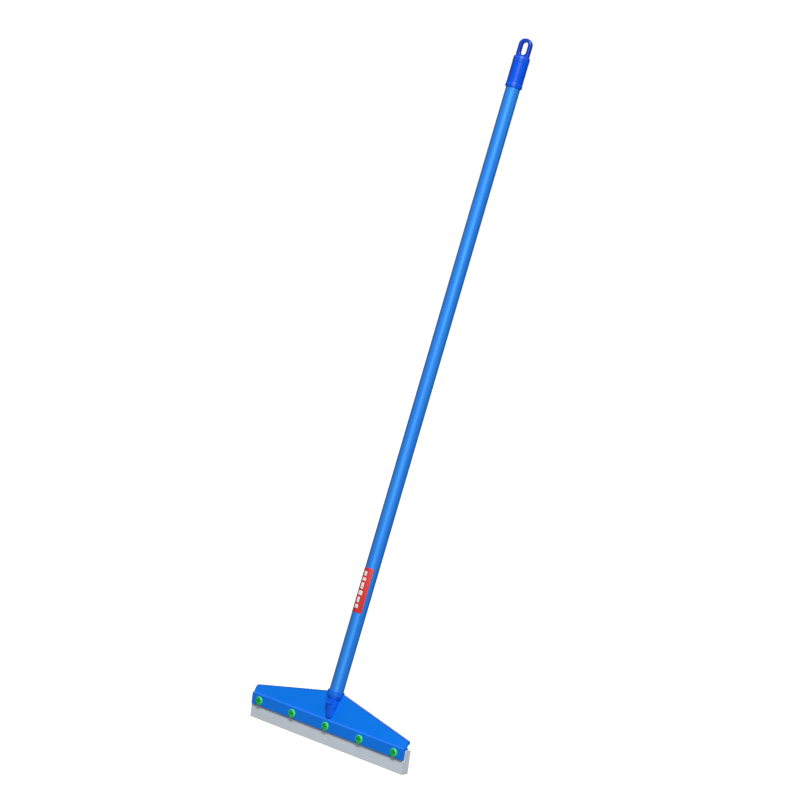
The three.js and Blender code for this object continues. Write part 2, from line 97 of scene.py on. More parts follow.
class Wiring:
    """Places nodes in one shader tree, joins them, and hands back their output sockets."""

    def __init__(self, tree: bpy.types.NodeTree) -> None:
        """Keeps the node tree to add to."""
        self.tree = tree

    def feed(self, socket: Socket, value: Feed) -> None:
        """Joins an input to an output socket, or sets it to a constant.

        Args:
            socket: the input.
            value: an output socket or a constant.
        """
        if isinstance(value, bpy.types.NodeSocket):
            self.tree.links.new(value, socket)
        else:
            socket.default_value = value

    def place(self, kind: str, result: int | str, **inputs: Feed) -> Socket:
        """Adds a node of one kind and feeds its inputs.

        Args:
            kind: the node's type.
            result: which output is wanted.
            inputs: a feed for each input, by its name with underscores for spaces.

        Returns:
            The wanted output socket.
        """
        node = self.tree.nodes.new(kind)
        for name, value in inputs.items():
            self.feed(node.inputs[name.replace("_", " ")], value)
        return node.outputs[result]

    def shade(self, feeds: dict[str, Feed]) -> None:
        """Feeds the surface shader's inputs by name.

        Args:
            feeds: an output socket or a constant for each input.
        """
        shader = self.tree.nodes["Principled BSDF"]
        for name, value in feeds.items():
            self.feed(shader.inputs[name], value)

    def math(self, operation: str, a: Feed, b: Feed, clamp: bool = False) -> Socket:
        """Adds a Math node.

        Args:
            operation: the Math node's operation.
            a: the first input.
            b: the second input.
            clamp: whether the result is kept between 0 and 1.

        Returns:
            The result's socket.
        """
        node = self.tree.nodes.new("ShaderNodeMath")
        node.operation = operation
        node.use_clamp = clamp
        self.feed(node.inputs[0], a)
        self.feed(node.inputs[1], b)
        return node.outputs[0]

    def noise(self, vector: Socket, scale: Feed, detail: float) -> Socket:
        """The value of a noise with the given number of finer layers."""
        return self.place("ShaderNodeTexNoise", "Fac", Vector=vector, Scale=scale, Detail=detail)

    def cells(self, vector: Socket, scale: Feed) -> Socket:
        """The distance to the nearest cell's middle."""
        return self.place("ShaderNodeTexVoronoi", "Distance", Vector=vector, Scale=scale)

    def ranged(self, value: Socket, low: float, high: float, end: float, start: float = 0.0) -> Socket:
        """Carries a value from the range low to high onto the range start to end."""
        ends = {"From_Min": low, "From_Max": high, "To_Min": start, "To_Max": end}
        return self.place("ShaderNodeMapRange", "Result", Value=value, **ends)

    def mixed(self, mask: Socket, low: Feed, high: Feed) -> Socket:
        """Mixes two colours by a mask.

        Args:
            mask: 0 gives low and 1 gives high.
            low: a colour or an output socket.
            high: a colour or an output socket.

        Returns:
            The mixed colour's socket.
        """
        node = self.tree.nodes.new("ShaderNodeMix")
        node.data_type = "RGBA"
        self.feed(node.inputs["Factor"], mask)
        for slot, value in (("A", low), ("B", high)):
            socket = next(s for s in node.inputs if s.name == slot and s.type == "RGBA")
            self.feed(socket, value if isinstance(value, bpy.types.NodeSocket) else (*value, 1.0))
        return next(s for s in node.outputs if s.type == "RGBA")

    def group(self, kind: Group, vector: Socket, setting: float) -> Socket:
        """The result of a shared group, placed with its own setting.

        Args:
            kind: which group.
            vector: the socket that gives a place on the surface.
            setting: its number.

        Returns:
            The result's socket.
        """
        node = self.tree.nodes.new("ShaderNodeGroup")
        node.node_tree = bpy.data.node_groups.get(kind.value) or GROUP_BUILDERS[kind]()
        self.feed(node.inputs[0], vector)
        self.feed(node.inputs[1], setting)
        return node.outputs[0]


def new_group(
    kind: Group, setting: str, default: float, result: str
) -> tuple[Wiring, Socket, Socket, Socket]:
    """Makes a shader group that takes a vector and one number.

    Args:
        kind: which group.
        setting: the number's name.
        default: the number's default.
        result: the output's name.

    Returns:
        Its wiring, its vector's socket, its number's socket, and the input that takes its result.
    """
    tree = bpy.data.node_groups.new(kind.value, "ShaderNodeTree")
    tree.interface.new_socket("Vector", in_out="INPUT", socket_type="NodeSocketVector")
    number = tree.interface.new_socket(setting, in_out="INPUT", socket_type="NodeSocketFloat")
    number.default_value = default
    tree.interface.new_socket(result, in_out="OUTPUT", socket_type="NodeSocketFloat")
    given = tree.nodes.new("NodeGroupInput")
    out = tree.nodes.new("NodeGroupOutput")
    return Wiring(tree), given.outputs["Vector"], given.outputs[setting], out.inputs[result]


def build_mottle() -> bpy.types.NodeTree:
    """A slow, cloudy value about 0.5, from a coarse and a middling noise.

    Returns:
        The group's node tree.
    """
    wiring, vector, scale, out = new_group(Group.MOTTLE, "Scale", 18.0, "Value")
    coarse = wiring.math("MULTIPLY", wiring.noise(vector, scale, 2.0), 0.65)
    finer = wiring.math("MULTIPLY", scale, 4.3)
    fine = wiring.math("MULTIPLY", wiring.noise(vector, finer, 3.0), 0.35)
    wiring.feed(out, wiring.math("ADD", fine, coarse))
    return wiring.tree


def build_grain() -> bpy.types.NodeTree:
    """The height of a fine moulded grain: small rounded cells under a finer noise.

    Returns:
        The group's node tree.
    """
    wiring, vector, scale, out = new_group(Group.GRAIN, "Scale", 900.0, "Height")
    cells = wiring.math("MULTIPLY", wiring.cells(vector, scale), 0.6)
    wiring.feed(out, wiring.math("ADD", cells, wiring.noise(vector, scale, 2.0)))
    return wiring.tree


def build_edge() -> bpy.types.NodeTree:
    """A mask of convex corners, for edge wear and painted edge highlights: Pointiness over its middle value,
    broken up by noise.

    Returns:
        The group's node tree.
    """
    wiring, vector, sharpness, out = new_group(Group.EDGE, "Sharpness", EDGE_SHARPNESS, "Mask")
    over = wiring.math("SUBTRACT", wiring.place("ShaderNodeNewGeometry", "Pointiness"), 0.53)
    steep = wiring.math("MULTIPLY", over, sharpness, clamp=True)
    wiring.feed(out, wiring.math("MULTIPLY", steep, wiring.noise(vector, 160.0, 4.0), clamp=True))
    return wiring.tree


def build_dust() -> bpy.types.NodeTree:
    """A mask of dust: upward faces, broken into patches by noise.

    Returns:
        The group's node tree.
    """
    wiring, vector, amount, out = new_group(Group.DUST, "Amount", 0.3, "Mask")
    normal = wiring.place("ShaderNodeNewGeometry", "Normal")
    rise = wiring.place("ShaderNodeSeparateXYZ", "Z", Vector=normal)
    upward = wiring.math("SUBTRACT", rise, 0.35, clamp=True)
    patch = wiring.math("MULTIPLY", upward, wiring.noise(vector, 60.0, 6.0))
    wiring.feed(out, wiring.math("MULTIPLY", patch, amount, clamp=True))
    return wiring.tree


GROUP_BUILDERS: dict[Group, Callable[[], bpy.types.NodeTree]] = {
    Group.MOTTLE: build_mottle,
    Group.GRAIN: build_grain,
    Group.EDGE: build_edge,
    Group.DUST: build_dust,
}


# ---- Finishes ---------------------------------------------------------------------------


@dataclass(frozen=True)
class Finish:
    """One material: its colours, gloss, and how strong each surface effect is."""

    name: str
    base: Colour
    shade: Colour
    roughness: float
    roughness_spread: float = 0.08
    metallic: float = 0.0
    mottle_scale: float = 18.0
    mottle_amount: float = 0.5
    grain_scale: float = 900.0
    grain_depth: float = 0.02 * MM
    grain_strength: float = 0.6
    # Colour mixed in at convex corners: wear, and for the blue finishes and the screws a painted highlight.
    edge_wear_and_highlight: Colour = (0.5, 0.6, 0.7)
    edge_wear_and_highlight_amount: float = 0.25
    dust: Colour = (0.55, 0.56, 0.57)
    dust_amount: float = 0.2
    subsurface: float = 0.0
    subsurface_reach: float = 2 * MM
    stretch: Point = (1.0, 1.0, 1.0)
    lean: float = 0.0
    specular: float = 0.4

    def build(self) -> bpy.types.Material:
        """Makes the material, with its shared groups placed and joined to the shader.

        Returns:
            The material.
        """
        material = bpy.data.materials.new(self.name)
        material.use_nodes = True
        wiring = Wiring(material.node_tree)
        vector = self.place(wiring)
        mottle = wiring.group(Group.MOTTLE, vector, self.mottle_scale * 3)
        spread = wiring.math("MULTIPLY", mottle, 2 * self.roughness_spread)
        height = self.height(wiring, vector, wiring.group(Group.GRAIN, vector, self.grain_scale))
        relief = {"Distance": self.grain_depth, "Strength": self.grain_strength, "Height": height}
        feeds = {
            "Base Color": self.colour(wiring, vector),
            "Metallic": self.metallic,
            "Roughness": wiring.math("ADD", spread, self.roughness - self.roughness_spread, clamp=True),
            "Normal": wiring.place("ShaderNodeBump", "Normal", **relief),
            "Specular IOR Level": self.specular,
            "Subsurface Weight": self.subsurface,
            "Subsurface Radius": (self.subsurface_reach,) * 3,
        }
        wiring.shade(feeds)
        return material

    def place(self, wiring: Wiring) -> Socket:
        """The Object coordinates, turned to the handle's lean and stretched as this finish asks.

        Args:
            wiring: the material's wiring.

        Returns:
            The vector's socket.
        """
        mapping = wiring.tree.nodes.new("ShaderNodeMapping")
        mapping.vector_type = "TEXTURE"
        mapping.inputs["Rotation"].default_value = (-math.radians(self.lean), 0.0, 0.0)
        mapping.inputs["Scale"].default_value = self.stretch
        wiring.feed(mapping.inputs["Vector"], wiring.place("ShaderNodeTexCoord", "Object"))
        return mapping.outputs["Vector"]

    def colour(self, wiring: Wiring, vector: Socket) -> Socket:
        """The finish's colour: its base, mottled, lightened at convex corners by wear and a painted edge
        highlight, and dusted on top.

        Args:
            wiring: the material's wiring.
            vector: the socket that gives a place on the surface.

        Returns:
            The colour's socket.
        """
        mottle = wiring.group(Group.MOTTLE, vector, self.mottle_scale)
        base = wiring.mixed(wiring.ranged(mottle, 0.35, 0.65, self.mottle_amount), self.base, self.shade)
        # Convex corners take the edge colour: wear, and for the blue finishes and the screws a painted
        # highlight.
        edge_wear_and_highlight = wiring.math("MULTIPLY", wiring.group(Group.EDGE, vector, EDGE_SHARPNESS), self.edge_wear_and_highlight_amount)
        dust = wiring.group(Group.DUST, vector, self.dust_amount)
        return wiring.mixed(dust, wiring.mixed(edge_wear_and_highlight, base, self.edge_wear_and_highlight), self.dust)

    def height(self, wiring: Wiring, vector: Socket, grain: Socket) -> Socket:
        """The height that the bump reads: here the grain alone."""
        return grain


@dataclass(frozen=True)
class StreakedFinish(Finish):
    """An extruded coating whose faint lines and colour bands run along the handle."""

    band: Colour = (0.2, 0.5, 0.8)
    band_amount: float = 0.4
    band_scale: float = 260.0

    def colour(self, wiring: Wiring, vector: Socket) -> Socket:
        """Adds bands that hardly change along the handle to the plain colour.

        Args:
            wiring: the material's wiring.
            vector: the socket that gives a place on the surface.

        Returns:
            The colour's socket.
        """
        plain = Finish.colour(self, wiring, vector)
        lines = wiring.ranged(wiring.noise(vector, self.band_scale, 3.0), 0.45, 0.7, self.band_amount)
        return wiring.mixed(lines, plain, self.band)


@dataclass(frozen=True)
class FoamFinish(Finish):
    """Closed-cell foam rubber: small sunk pores on a pale, slightly marbled skin, with painted shade
    darkening the pores.
    """

    pore_scale: float = 1400.0
    pore_size: float = 0.26
    # The colour of the painted shade inside the pores.
    pore_shade: Colour = (0.35, 0.36, 0.38)
    pore_shade_amount: float = 0.45

    def pores(self, wiring: Wiring, vector: Socket) -> Socket:
        """A mask that is 1 inside the pores."""
        return wiring.math("LESS_THAN", wiring.cells(vector, self.pore_scale), self.pore_size)

    def colour(self, wiring: Wiring, vector: Socket) -> Socket:
        """Darkens the plain colour in the sunk pores: painted shade inside them.

        Args:
            wiring: the material's wiring.
            vector: the socket that gives a place on the surface.

        Returns:
            The colour's socket.
        """
        plain = Finish.colour(self, wiring, vector)
        # Painted shade: the pores' colour is darkened where they are sunk.
        weak = wiring.math("MULTIPLY", self.pores(wiring, vector), self.pore_shade_amount)
        return wiring.mixed(weak, plain, self.pore_shade)

    def height(self, wiring: Wiring, vector: Socket, grain: Socket) -> Socket:
        """The grain, with the pores sunk in it."""
        return wiring.math("SUBTRACT", grain, self.pores(wiring, vector))


# Painted highlight: a brighter blue that the blue finishes mix in at convex corners.
HIGHLIGHT_BLUE: Colour = (0.03, 0.33, 0.95)
FINE_GRAIN = 0.006 * MM
FILM_GRAIN = 0.01 * MM
HEAD_BLUE = Finish(
    "head_plastic_blue", (0.002, 0.19, 0.82), (0.002, 0.165, 0.74), 0.42, specular=0.22, edge_wear_and_highlight=HIGHLIGHT_BLUE
)
# Painted shade: a darker blue for the boss, the pad and the fairing under the collar.
BOSS_SHADE_BLUE = Finish(
    "boss_painted_shade_blue", (0.002, 0.115, 0.78), (0.002, 0.095, 0.70), 0.4, specular=0.25, edge_wear_and_highlight=HIGHLIGHT_BLUE
)
# Painted shade: a dark blue band along the hood's top edge.
RIM_SHADE_BLUE = Finish(
    "rim_painted_shade_blue", (0.001, 0.08, 0.45), (0.001, 0.07, 0.40), 0.6, specular=0.08, edge_wear_and_highlight_amount=0.0
)
COLLAR_BLUE = Finish(
    "collar_plastic_blue", (0.004, 0.13, 0.70), (0.003, 0.115, 0.62), 0.36, specular=0.3, edge_wear_and_highlight=HIGHLIGHT_BLUE
)
STRIP_BLUE = Finish("strip_plastic_blue", (0.004, 0.12, 0.60), (0.004, 0.10, 0.52), 0.5)
CAP_BLUE = Finish(
    "cap_plastic_blue",
    (0.001, 0.085, 0.68),
    (0.001, 0.06, 0.56),
    0.32,
    specular=0.35,
    grain_depth=FINE_GRAIN,
    edge_wear_and_highlight=HIGHLIGHT_BLUE,
)
# Painted shade: a darker navy for the whole hanging eye.
EYE_SHADE_BLUE = Finish(
    "eye_painted_shade_blue",
    (0.001, 0.045, 0.46),
    (0.001, 0.032, 0.38),
    0.3,
    grain_depth=FINE_GRAIN,
    edge_wear_and_highlight=HIGHLIGHT_BLUE,
)
SLEEVE_BLUE = StreakedFinish(
    "sleeve_coating_blue",
    (0.030, 0.26, 0.88),
    (0.024, 0.20, 0.82),
    0.46,
    metallic=0.35,
    specular=0.3,
    lean=12.6,
    stretch=(1.0, 1.0, 60.0),
    grain_scale=500.0,
    grain_depth=FILM_GRAIN,
    band=(0.05, 0.38, 0.78),
)
# The screws' lighter green at convex corners is a painted highlight.
SCREW_GREEN = Finish(
    "screw_plastic_green", (0.004, 0.46, 0.055), (0.003, 0.39, 0.045), 0.34, edge_wear_and_highlight=(0.1, 0.65, 0.25)
)
# Painted highlight: a lighter green for the front of each screw's rim.
SCREW_RIM_HIGHLIGHT_GREEN = Finish("screw_rim_painted_highlight_green", (0.07, 0.66, 0.25), (0.05, 0.58, 0.20), 0.30)
LABEL_RED = Finish("label_film_red", (0.60, 0.018, 0.014), (0.52, 0.014, 0.010), 0.45, grain_depth=FILM_GRAIN)
LABEL_WHITE = Finish("label_film_white", (0.75, 0.74, 0.72), (0.68, 0.67, 0.65), 0.45, grain_depth=FILM_GRAIN)
FOAM_GREY = FoamFinish(
    "blade_foam_grey",
    (0.62, 0.68, 0.75),
    (0.56, 0.62, 0.69),
    0.78,
    edge_wear_and_highlight_amount=0.1,
    edge_wear_and_highlight=(0.7, 0.7, 0.72),
    subsurface=0.1,
)
TUBE_STEEL = Finish("tube_steel", (0.58, 0.59, 0.60), (0.50, 0.50, 0.51), 0.35, metallic=1.0, edge_wear_and_highlight_amount=0.0)
NUT_STEEL = Finish("nut_zinc", (0.62, 0.61, 0.58), (0.52, 0.52, 0.50), 0.38, metallic=1.0, mottle_scale=90.0)


# ---- Surfaces ---------------------------------------------------------------------------


def surface(x: np.ndarray, y: np.ndarray, z: np.ndarray) -> np.ndarray:
    """A grid of points from its three coordinates, each full or a single row or column."""
    return np.stack(np.broadcast_arrays(x, y, z), -1)


def grid_mesh(name: str, points: np.ndarray, close_rows: bool = False) -> bpy.types.Mesh:
    """Joins a grid of points with quads, its last column to its first, and caps open ends flat.

    Args:
        name: the mesh's name.
        points: an array of shape (rows, columns, 3).
        close_rows: whether the last row joins the first, as a ring's does.

    Returns:
        The mesh, with its faces turned outwards.
    """
    rows, columns, _ = points.shape
    u = np.arange(rows if close_rows else rows - 1)[:, None]
    v = np.arange(columns)[None, :]
    next_u, next_v = (u + 1) % rows, (v + 1) % columns
    corners = [u * columns + v, u * columns + next_v, next_u * columns + next_v, next_u * columns + v]
    faces = np.stack(corners, -1).reshape(-1, 4).tolist()
    if not close_rows:
        faces.append(list(range(columns))[::-1])
        faces.append([(rows - 1) * columns + k for k in range(columns)])
    mesh = bpy.data.meshes.new(name)
    mesh.from_pydata(points.reshape(-1, 3).tolist(), [], faces)
    return tidied(mesh)


def tidied(mesh: bpy.types.Mesh, merge: float = 1e-6, flat: bool = False) -> bpy.types.Mesh:
    """Merges a mesh's doubles, turns its faces outwards and shades it smooth.

    Args:
        mesh: the mesh, changed in place.
        merge: how near two points are, in metres, to be one.
        flat: whether the triangles of each flat face are joined in one.

    Returns:
        The same mesh.
    """
    work = bmesh.new()
    work.from_mesh(mesh)
    bmesh.ops.remove_doubles(work, verts=work.verts, dist=merge)
    bmesh.ops.dissolve_degenerate(work, edges=work.edges, dist=merge)
    bmesh.ops.recalc_face_normals(work, faces=work.faces)
    if flat:
        bmesh.ops.dissolve_limit(work, angle_limit=FLAT_ANGLE, verts=work.verts, edges=work.edges)
    work.to_mesh(mesh)
    work.free()
    mesh.shade_smooth()
    return mesh


def piece_from(name: str, data: bpy.types.ID) -> bpy.types.Object:
    """Links a new object that holds a mesh, a light or a camera.

    Args:
        name: the object's name.
        data: what it holds.

    Returns:
        The object.
    """
    piece = bpy.data.objects.new(name, data)
    bpy.context.scene.collection.objects.link(piece)
    return piece


def soften(piece: bpy.types.Object, width: float) -> None:
    """Rounds a piece's sharp edges to a width in metres and evens its shading.

    Args:
        piece: the piece.
        width: the rounding's width in metres.
    """
    bevel = piece.modifiers.new("rounded_edges", "BEVEL")
    bevel.width = width
    bevel.segments = 3
    bevel.limit_method = "ANGLE"
    bevel.angle_limit = EDGE_ANGLE
    bevel.harden_normals = True
    even = piece.modifiers.new("even_shading", "WEIGHTED_NORMAL")
    even.keep_sharp = True


def refined(node: str, name: str, width: float) -> bpy.types.Object:
    """A merged, softened copy of a CAD node that stands for it.

    Args:
        node: the CAD node.
        name: the new piece's name.
        width: the rounding of its edges in metres.

    Returns:
        The piece.
    """
    mesh = frame["nodes"][node].data.copy()
    mesh.materials.clear()
    piece = piece_from(name, tidied(mesh, 2e-6, True))
    soften(piece, width)
    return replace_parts(piece, node)


def face_centres(mesh: bpy.types.Mesh) -> np.ndarray:
    """The middle of each face, in the faces' order.

    Args:
        mesh: the mesh.

    Returns:
        An array of one (x, y, z) for each face.
    """
    centres = np.empty(len(mesh.polygons) * 3)
    mesh.polygons.foreach_get("center", centres)
    return centres.reshape(-1, 3)


def paint(mesh: bpy.types.Mesh, faces: np.ndarray, index: int) -> None:
    """Gives the faces that a mask picks the material of one index, and the others the first."""
    mesh.polygons.foreach_set("material_index", np.where(faces, index, 0).astype(np.int32))


def dress(piece: bpy.types.Object, body: str, slot: str, *finishes: bpy.types.Material) -> None:
    """Gives a piece the body that it rides on and its materials.

    Args:
        piece: the piece.
        body: the body that moves it.
        slot: not used.
        finishes: its materials, in the order of its faces' indices.
    """
    for finish in finishes:
        piece.data.materials.append(finish)
    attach(piece, body)
    LOG.info("%s rides on %s", piece.name, body)


def arc(y: float, z: float, radius: float, start: float, end: float, steps: int) -> list[tuple[float, float]]:
    """Points of an arc about (y, z), from one angle to another in degrees."""
    angles = np.radians(np.linspace(start, end, steps + 1))
    return [(y + radius * math.cos(t), z + radius * math.sin(t)) for t in angles]


def rounded(corners: Sequence[tuple[float, float]], radii: Sequence[float], steps: int = 4) -> np.ndarray:
    """Rounds the corners of a closed outline.

    Each corner is replaced by a curve from the point one radius before it to the point one
    radius after it, weighted (1 - t) squared, 2 t (1 - t) and t squared on the three points.

    Args:
        corners: the outline's corners in order.
        radii: how far from each corner its rounding starts.
        steps: how many segments each rounding takes.

    Returns:
        An array of points, in order.
    """
    points = np.array(corners, float)
    before = np.roll(points, 1, axis=0) - points
    after = np.roll(points, -1, axis=0) - points
    reach = np.array(radii)[:, None]
    first = points + before / np.linalg.norm(before, axis=1)[:, None] * reach
    last = points + after / np.linalg.norm(after, axis=1)[:, None] * reach
    t = np.linspace(0.0, 1.0, steps + 1)[None, :, None]
    curve = (1 - t) ** 2 * first[:, None] + 2 * t * (1 - t) * points[:, None] + t**2 * last[:, None]
    return curve.reshape(-1, 2)


def loft(name: str, x: np.ndarray, outlines: np.ndarray) -> bpy.types.Mesh:
    """Carries outlines in the YZ plane along X.

    Args:
        name: the mesh's name.
        x: where each outline stands.
        outlines: the (y, z) of one outline for all stations, or of one for each.

    Returns:
        The closed mesh, with flat ends.
    """
    return grid_mesh(name, surface(x[:, None], outlines[..., 0], outlines[..., 1]))


def joined(
    name: str, meshes: Sequence[bpy.types.Mesh], second: Sequence[bpy.types.Mesh] = ()
) -> bpy.types.Mesh:
    """Puts several closed meshes in one mesh.

    Args:
        name: the new mesh's name.
        meshes: the meshes that take the first material.
        second: the meshes that take the second.

    Returns:
        The mesh that holds them all.
    """
    work = bmesh.new()
    for mesh in meshes:
        work.from_mesh(mesh)
    for mesh in second:
        paint(mesh, np.ones(len(mesh.polygons), bool), 1)
        work.from_mesh(mesh)
    whole = bpy.data.meshes.new(name)
    work.to_mesh(whole)
    work.free()
    whole.shade_smooth()
    return whole


# ---- The parts of the wiper -------------------------------------------------------------


@dataclass(frozen=True)
class Axis:
    """The handle's own axis: a point at the collar's top, and the way up the handle."""

    base: Vector
    up: Vector

    @classmethod
    def from_frame(cls) -> Axis:
        """Finds the axis from the collar's box and the cap's joint.

        Returns:
            The axis.
        """
        low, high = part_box("ferrule_collar")
        turn = next(j for j in frame["joints"] if j["name"] == "cap_turn")
        up = Vector(turn["axis"]).normalized()
        return cls((low + high) / 2 + up * COLLAR_HEIGHT / 2, up)

    def to_world(self, local: np.ndarray) -> np.ndarray:
        """Moves points from the handle's own frame, whose z runs up the handle, to the object's.

        Args:
            local: an array whose last dimension is (x, y, z).

        Returns:
            An array of the same shape: x across, y times the back and z times the way up, from the base.
        """
        across = np.array((1.0, 0.0, 0.0))
        up = np.array(self.up)
        back = np.cross(up, across)
        turned = local[..., :1] * across + local[..., 1:2] * back + local[..., 2:3] * up
        return turned + np.array(self.base)

    def revolve(self, name: str, profile: np.ndarray, closed: bool) -> bpy.types.Mesh:
        """Turns a profile of (radius, height) about the axis.

        A point is (radius cos a, radius sin a, height) in the handle's own frame.

        Args:
            name: the mesh's name.
            profile: the profile's points, bottom to top, on the axis at both ends unless closed.
            closed: whether the profile closes on itself, as a pipe's does.

        Returns:
            The mesh.
        """
        angle = np.linspace(0.0, 2 * math.pi, ROUND_SIDES, endpoint=False)
        radius, height = profile[:, :1], profile[:, 1:]
        points = surface(radius * np.cos(angle), radius * np.sin(angle), height)
        return grid_mesh(name, self.to_world(points), closed)

    def pipe(
        self, name: str, inner: float, outer: float, low: float, high: float, soft: float
    ) -> bpy.types.Mesh:
        """A round pipe along the axis with rounded rims.

        Args:
            name: the mesh's name.
            inner: the bore's radius.
            outer: the outer radius.
            low: the lower end's height over the collar's top.
            high: the upper end's height.
            soft: the rims' rounding.

        Returns:
            The mesh.
        """
        profile = rounded([(inner, low), (outer, low), (outer, high), (inner, high)], [soft] * 4)
        return self.revolve(name, profile, True)


@dataclass
class Head:
    """The moulded head, its clamp strip, screws and nuts."""

    axis: Axis
    flange_round: float = 1.8 * MM
    shelf: float = 3.2 * MM
    ledge_depth: float = 11.5 * MM
    ledge_height: float = 2.4 * MM
    flange_height: float = 18.8 * MM
    flange_depth: float = 5.6 * MM
    hood_wall: float = 3.0 * MM
    hood_overhang: float = 1.0 * MM
    end_rise: float = 11.0 * MM
    end_setback: float = 8.6 * MM
    middle_rise: float = 41.5 * MM
    middle_setback: float = 16.3 * MM
    middle_half: float = 13.5 * MM
    corner: float = 2.6 * MM
    rim_depth: float = 5.5 * MM
    rim_wall: float = 2.2 * MM
    # How far below the hood's top edge the painted shade of the rim reaches.
    rim_shade_band: float = 1.25 * MM
    rib_thickness: float = 2.0 * MM
    ribs_per_side: int = 3
    cheek_thickness: float = 2.4 * MM
    seat_drop: float = 9.0 * MM
    boss_length: float = 17.0 * MM
    boss_radius: float = 9.8 * MM
    seat_radius: float = 12.6 * MM
    seat_thickness: float = 2.4 * MM
    pad_width: float = 14.0 * MM
    pad_height: float = 11.0 * MM
    pad_proud: float = 1.0 * MM
    fairing_top: float = 9.2 * MM
    fairing_end: float = 8.0 * MM
    fairing_setback: float = 8.4 * MM
    spigot_radius: float = 9.5 * MM
    spigot_length: float = 38.0 * MM
    blade_gap: float = 0.3 * MM
    screw_height: float = 8.0 * MM
    strip_inset: float = 5.0 * MM
    screws: int = 5
    front: float = field(init=False)
    top: float = field(init=False)
    half: float = field(init=False)

    def __post_init__(self) -> None:
        """Takes the flange's face, top and half length from the frame."""
        root_low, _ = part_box("front_blade_root")
        _, strip_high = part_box("rear_clamp_strip")
        screw_low, screw_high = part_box("clamp_screw_1")
        self.front = root_low.y - self.flange_depth - self.blade_gap
        self.top = (screw_low.z + screw_high.z) / 2 - self.screw_height + self.flange_height
        self.half = strip_high.x + self.strip_inset

    def hood_top(self, x: np.ndarray) -> np.ndarray:
        """The hood's top edge: level in the middle, then straight down to rounded corners.

        Args:
            x: places along the head.

        Returns:
            An array of (y, z), one for each place.
        """
        hood_half = self.half + self.hood_overhang
        share = np.clip((np.abs(x) - self.middle_half) / (hood_half - self.middle_half), 0, 1)
        into = np.clip(np.abs(x) - (hood_half - self.corner), 0, self.corner)
        drop = self.corner - np.sqrt(self.corner**2 - into**2)
        y = self.front + self.middle_setback + share * (self.end_setback - self.middle_setback) - 0.4 * drop
        z = self.top + self.middle_rise + share * (self.end_rise - self.middle_rise) - drop
        return np.stack([y, z], 1)

    def hood(self) -> bpy.types.Mesh:
        """The leaning wall on the shelf, its top edge turned back in a rounded rim.

        Returns:
            The mesh, in metres.
        """
        hood_half = self.half + self.hood_overhang
        bend = hood_half - self.corner
        turn = bend + self.corner * np.sin(np.linspace(0, math.pi / 2, 10)) ** 0.8
        side = np.concatenate([np.linspace(self.middle_half, bend, 40)[:-1], turn])
        x = np.concatenate([-side[::-1], np.linspace(-self.middle_half, self.middle_half, 9)[1:-1], side])
        foot = self.top - self.ledge_height / 2
        hood_foot = self.front + self.shelf
        outlines = []
        for y, z in self.hood_top(x):
            corners = [
                (hood_foot, foot),
                (y, z),
                (y + self.rim_depth, z - 0.6 * MM),
                (y + self.rim_depth, z - self.rim_wall - 0.6 * MM),
                (y + self.hood_wall, z - self.rim_wall - 0.9 * MM),
                (hood_foot + self.hood_wall, foot),
            ]
            radii = [0.1 * MM, 1.3 * MM, 0.7 * MM, 0.7 * MM, 1.2 * MM, 0.1 * MM]
            outlines.append(rounded(corners, radii, 5))
        mesh = loft("hood", x, np.array(outlines))
        # A band along the hood's top edge takes the third material, a dark blue: painted shade along the rim.
        centres = face_centres(mesh)
        rim = centres[:, 2] > self.hood_top(centres[:, 0])[:, 1] - self.rim_shade_band
        paint(mesh, rim, 2)
        return mesh

    def flange(self) -> bpy.types.Mesh:
        """The flat front flange with its rounded upper edge, and the ledge over the blades.

        Returns:
            The mesh, in metres.
        """
        bottom = self.top - self.flange_height
        back = self.front + self.flange_depth
        ledge = self.front + self.ledge_depth
        corners = [
            (self.front, bottom),
            (self.front, self.top),
            (ledge, self.top),
            (ledge, self.top - self.ledge_height),
            (back, self.top - self.ledge_height),
            (back, bottom),
        ]
        radii = [0.7 * MM, self.flange_round, 0.6 * MM, 0.6 * MM, 0.4 * MM, 0.4 * MM]
        return loft("flange", np.linspace(-self.half, self.half, 61), rounded(corners, radii, 6))

    def web(self, x: float, thickness: float) -> bpy.types.Mesh:
        """A rib behind the hood, from its rim down to the ledge.

        Args:
            x: the rib's place along the head.
            thickness: how thick it is.

        Returns:
            The mesh, in metres.
        """
        y, z = self.hood_top(np.array([x]))[0]
        foot = self.top - self.ledge_height / 2
        corners = [
            (self.front + self.shelf + self.hood_wall / 2, foot),
            (y + self.hood_wall / 2, z - self.rim_wall),
            (y + self.rim_depth - 0.6 * MM, z - self.rim_wall),
            (self.front + self.ledge_depth - 1.0 * MM, foot),
        ]
        sides = np.array([-0.5, -0.3, 0.3, 0.5]) * thickness + x
        return loft("web", sides, rounded(corners, [0.2 * MM] * 4, 2))

    def boss(self) -> bpy.types.Mesh:
        """The round boss under the collar, its seat, and the spigot that stands in the tube.

        Returns:
            The mesh, in metres.
        """
        top = -self.seat_drop
        low = top - self.boss_length
        soft = 0.6 * MM
        corners = [
            (0.0, low),
            *arc(self.boss_radius - soft, low + soft, soft, -90, 0, 4),
            (self.boss_radius, top - self.seat_thickness - 0.8 * MM),
            (self.boss_radius + 0.5 * MM, top - self.seat_thickness - 0.2 * MM),
            *arc(self.seat_radius - soft, top - self.seat_thickness + soft, soft, -90, 0, 4),
            *arc(self.seat_radius - 0.4 * MM, top - 0.4 * MM, 0.4 * MM, 0, 90, 3),
            (self.spigot_radius, top),
            (self.spigot_radius, self.spigot_length - 1.2 * MM),
            (self.spigot_radius - 1.2 * MM, self.spigot_length),
            (0.0, self.spigot_length),
        ]
        return self.axis.revolve("boss", np.array(corners), False)

